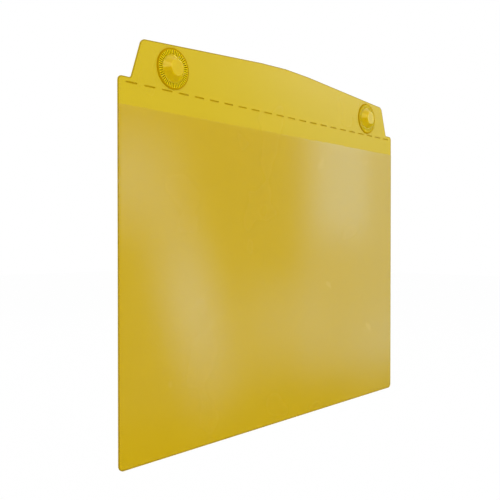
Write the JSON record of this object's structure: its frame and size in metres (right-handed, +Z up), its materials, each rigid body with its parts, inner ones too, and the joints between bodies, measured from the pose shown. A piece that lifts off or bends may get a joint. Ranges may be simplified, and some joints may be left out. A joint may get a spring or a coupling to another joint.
{
  "type": "hanging document pouch",
  "caption": "Flat yellow hanging pouch: plastic sheet with a scored folding line, gabled flap with round magnet buttons, and a clear glossy front film open along its top edge.",
  "frame": {"origin": "midway between the two magnet buttons' axes, on the plane of the grip pads' rear faces, where the wall is", "axes": "+X along the pouch's width, +Y rearwards into the wall, +Z up; the film faces -Y"},
  "size_m": [0.31, 0.0073, 0.2685],
  "materials": {
    "yellow_sheet": "satin, fine haircell grain",
    "clear_film": "clear, glossy",
    "sealed_edge": "fused, slightly grey",
    "yellow_button": "glossy, moulded",
    "cup_steel": "zinc plated",
    "magnet_nickel": "nickel plated",
    "retainer_plastic": "moulded, satin",
    "grip_rubber": "matt"
  },
  "bodies": {
    "header": {"header_flap": "yellow_sheet", "crease_strip": "yellow_sheet", "button_cap_left": "yellow_button", "magnet_cup_left": "cup_steel", "magnet_left": "magnet_nickel", "retainer_left": "retainer_plastic", "grip_pad_left": "grip_rubber", "button_cap_right": "yellow_button", "magnet_cup_right": "cup_steel", "magnet_right": "magnet_nickel", "retainer_right": "retainer_plastic", "grip_pad_right": "grip_rubber"},
    "pocket": {"pocket_back": "yellow_sheet", "front_film": "clear_film", "seam_left": "sealed_edge", "seam_right": "sealed_edge", "seam_bottom": "sealed_edge"}
  },
  "joints": [
    {"name": "crease_fold", "type": "hinge", "parent": "header", "child": "pocket", "pos_m": [0, -0.0022, -0.01454], "axis": [-1, 0, 0], "range_deg": [-135, 135], "deforming": ["crease_strip"]}
  ]
}
